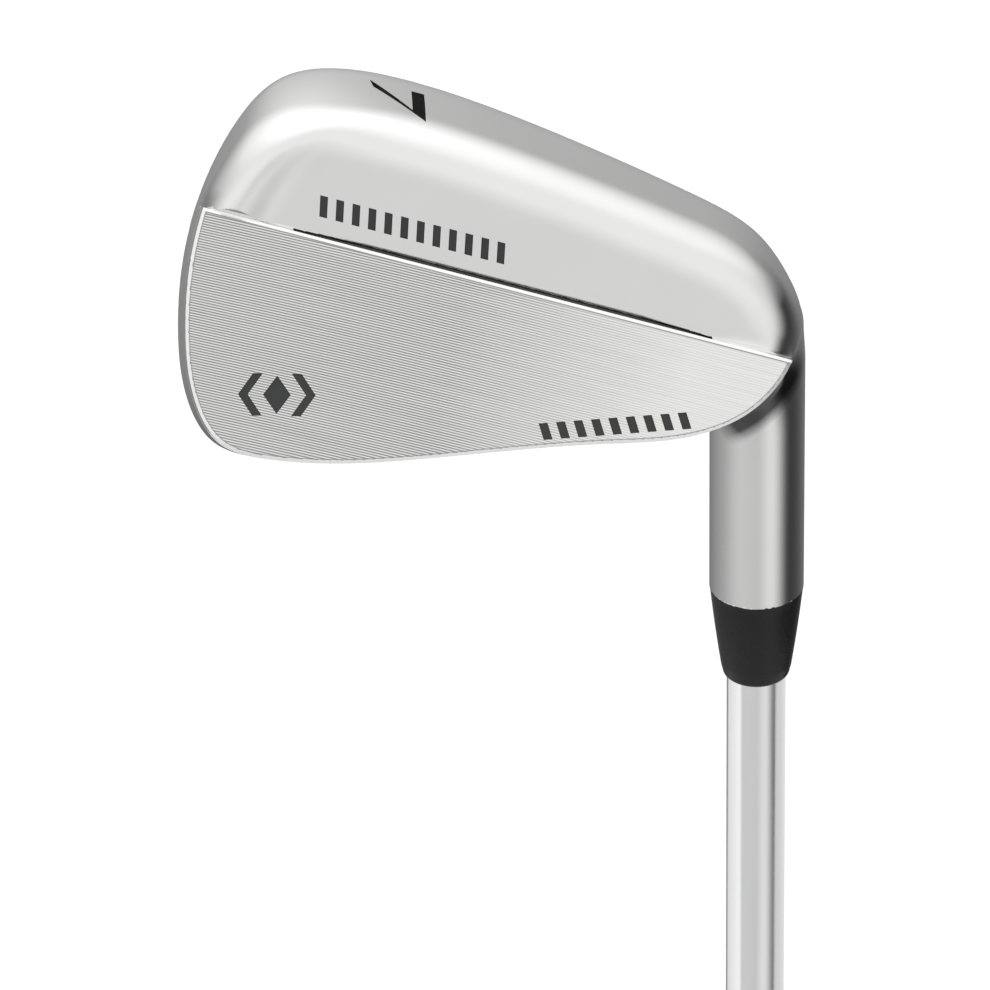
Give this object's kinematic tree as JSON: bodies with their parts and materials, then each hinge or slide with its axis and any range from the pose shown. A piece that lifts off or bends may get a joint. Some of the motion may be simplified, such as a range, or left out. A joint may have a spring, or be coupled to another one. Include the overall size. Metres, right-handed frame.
{
  "type": "iron golf club",
  "caption": "Right-handed muscle-back iron golf club: forged steel head with hosel, black ferrule, stepped steel shaft and tapered black rubber grip.",
  "frame": {"origin": "centre of the grip cap's end face, on the vent hole's axis", "axes": "+Z along the shaft towards the head; the back of the head looks towards -Y, the toe towards -X, the striking face towards +Y"},
  "size_m": [0.0951, 0.0477, 0.9644],
  "materials": {
    "head_steel": "satin chrome over forged steel",
    "ferrule_plastic": "polished black",
    "shaft_chrome": "polished plating",
    "brass": "turned",
    "epoxy": "cured adhesive",
    "band": "printed film",
    "tape": "paper tape",
    "grip_rubber": "moulded texture",
    "cap_rubber": "smooth",
    "paint_black": "enamel fill",
    "paint_grey": "enamel fill"
  },
  "bodies": {
    "root": {"head": "head_steel", "ferrule": "ferrule_plastic", "shaft": "shaft_chrome", "tip_weight": "brass", "hosel_epoxy": "epoxy", "shaft_band": "band", "grip_tape": "tape", "grip_sleeve": "grip_rubber", "grip_cap": "cap_rubber", "number_paint": "paint_black", "facet_paint": "paint_grey", "emblem_paint": "paint_grey", "bar_paint": "paint_grey"}
  },
  "joints": []
}
